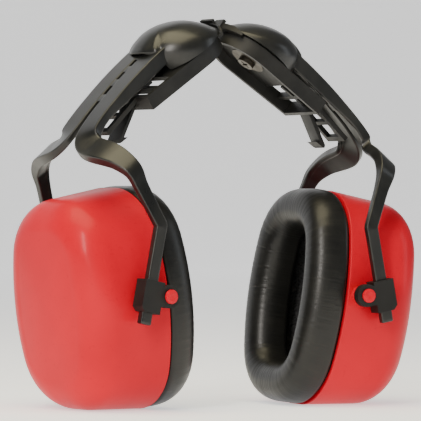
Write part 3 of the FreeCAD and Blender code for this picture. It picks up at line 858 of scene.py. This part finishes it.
def makeCollar(hand):
    # a curved upstand at the tip, with its foot on the adapter's plate; its ends taper off
    size = collarSize
    rings = []
    foot, low, span = size["foot"], size["lowest"], size["span"]
    for turn in np.radians(np.linspace(180 - span, 180 + span, size["around"])):
        share = low + (1 - low) * smoothStep(span - abs(math.degrees(turn) - 180), 0.0, size["fade"])
        ring = []
        for r, n in size["section"]:
            height = n if n < foot else foot + (n - foot) * share
            ring.append([hubReach + r * math.cos(turn), r * math.sin(turn), height])
        rings.append(ring)
    piece(hand + "TipCollar", [shell(inClip(np.array(rings)))], hand, clipBlack, hand + "_adapter",
          (), 30.0)


def makeArm(hand):
    shells = [makeStrap(-1), makeStrap(1), makeHood()]
    rib, web = ribSize, webSize
    for start in rib["starts"]:
        end = start + rib["length"]
        low, high = (bladeHeight(reach) - rib["drop"] for reach in (start, end))
        shells.append(bar((start, 0, low), (end, 0, high), rib["width"], rib["height"], rib["corner"]))
    shells.append(spun(journalLine, hubReach))
    for side in (-1, 1):
        for turn in web["turns"]:
            angle = math.radians(turn) * side
            c, s = math.cos(angle), math.sin(angle)
            ends = [(hubReach + r * c, r * s, n) for r, n in (web["inner"], web["outer"])]
            shells.append(bar(*ends, web["width"], web["height"], web["corner"]))
    piece(hand + "ForkArm", shells, hand, armBlack, hand + "_arm", (hand + "_fork_arm",), 38.0)


# CAD nodes that get an eased copy: name after the hand, material, body, slot, edge width and segments
copies = {
    "front_height_block": ("FrontBlock", blockBlack, "front_block", "block_plastic", 0.45, 3),
    "rear_height_block": ("RearBlock", blockBlack, "rear_block", "block_plastic", 0.45, 3),
    "helmet_adapter": ("HelmetClip", clipBlack, "adapter", "black_plastic", 0.28, 2),
    "latch_tongue": ("SnapTongue", clipBlack, "latch", "black_plastic", 0.3, 2),
    "pivot_screw": ("PivotScrew", zinc, "arm", "zinc_steel", 0.15, 2),
    "plain_washer": ("PlainWasher", zinc, "arm", "zinc_steel", 0.1, 2),
    "spring_washer": ("SpringWasher", springSteel, "arm", "spring_steel", 0.08, 2),
}
for number, hand in enumerate(hands):
    makeCup(hand)
    makeLiner(hand)
    makeFlange(hand)
    makeCushion(hand, number)
    makeArm(hand)
    makeCollar(hand)
    for node, (label, material, body, slotName, width, segments) in copies.items():
        eased(hand + "_" + node, hand + label, material, hand + "_" + body, width, segments)
    print(hand, "unit made")


# ---- floor, light and camera ----
stageSize = {
    "near": -4.0, "bend": 3.0, "curve": 1.4, "top": 4.6, "half": 5.0, "white": (0.87, 0.87, 0.87, 1),
    "glow": 0.75, "sky": (0.95, 0.97, 1, 1), "skyStrength": 0.2,
}


def makeStage():
    # a sheet that lies flat under the part, then sweeps up behind it in a quarter circle
    size = stageSize
    turn = np.linspace(0, math.pi / 2, 25)
    bend, curve = size["bend"], size["curve"]
    depth = np.concatenate([[size["near"]], bend + curve * np.sin(turn), [bend + curve]])
    rise = np.concatenate([[0.0], curve * (1 - np.cos(turn)), [size["top"]]])
    points = [(x, y, z) for y, z in zip(depth, rise) for x in (-size["half"], size["half"])]
    faces = [(2 * k, 2 * k + 1, 2 * k + 3, 2 * k + 2) for k in range(len(depth) - 1)]
    mesh = bpy.data.meshes.new("backdrop")
    mesh.from_pydata(points, [], faces)
    mesh.shade_smooth()
    sheet = bpy.data.objects.new("backdrop", mesh)
    bpy.context.scene.collection.objects.link(sheet)
    mat = Mat("pale backdrop", 0.9, Emission_Strength=size["glow"], Emission_Color=(1, 1, 1, 1))
    mesh.materials.append(mat.set(Base_Color=size["white"]))
    world = bpy.data.worlds.new("studio")
    bpy.context.scene.world = world
    world.use_nodes = True
    sky = world.node_tree.nodes["Background"]
    sky.inputs["Color"].default_value = size["sky"]
    sky.inputs["Strength"].default_value = size["skyStrength"]


def softLight(name, place, target, size, power, colour):
    data = bpy.data.lights.new(name, "AREA")
    data.shape = "RECTANGLE"
    data.size, data.size_y = size
    data.energy = power
    data.color = colour
    obj = bpy.data.objects.new(name, data)
    bpy.context.scene.collection.objects.link(obj)
    obj.location = place
    obj.rotation_euler = (Vector(target) - Vector(place)).to_track_quat("-Z", "Y").to_euler()


cameraSize = {
    "azimuth": -31.9, "elevation": 0.0, "roll": 0.6, "distance": 1.6, "lens": 293.0,
    "aim": (-0.0004, 0.0063, 0.0910), "sensor": 36.0, "near": 0.05, "far": 20.0,
}


def makeCamera():
    size = cameraSize
    a, e = math.radians(size["azimuth"]), math.radians(size["elevation"])
    back = Vector((math.sin(a) * math.cos(e), -math.cos(a) * math.cos(e), math.sin(e)))
    data = bpy.data.cameras.new("camera")
    data.lens = size["lens"]
    data.sensor_width = size["sensor"]
    data.clip_start, data.clip_end = size["near"], size["far"]
    camera = bpy.data.objects.new("camera", data)
    bpy.context.scene.collection.objects.link(camera)
    turn = back.to_track_quat("Z", "Y").to_matrix().to_4x4()
    place = Vector(size["aim"]) + back * size["distance"]
    roll = Matrix.Rotation(math.radians(size["roll"]), 4, "Z")
    camera.matrix_world = Matrix.Translation(place) @ turn @ roll
    bpy.context.scene.camera = camera


makeStage()
softLight("overhead", (-0.25, -0.15, 1.1), (0, 0, 0.1), (0.9, 0.9), 14, (1.0, 0.90, 0.58))
softLight("front left", (-1.15, -0.95, 0.75), (0, 0, 0.08), (0.22, 0.9), 21, (1.0, 0.95, 0.88))
softLight("right", (1.2, -0.6, 0.5), (0, 0, 0.1), (0.4, 0.9), 2.2, (0.88, 0.94, 1.0))
makeCamera()
print("stage, light and camera made")
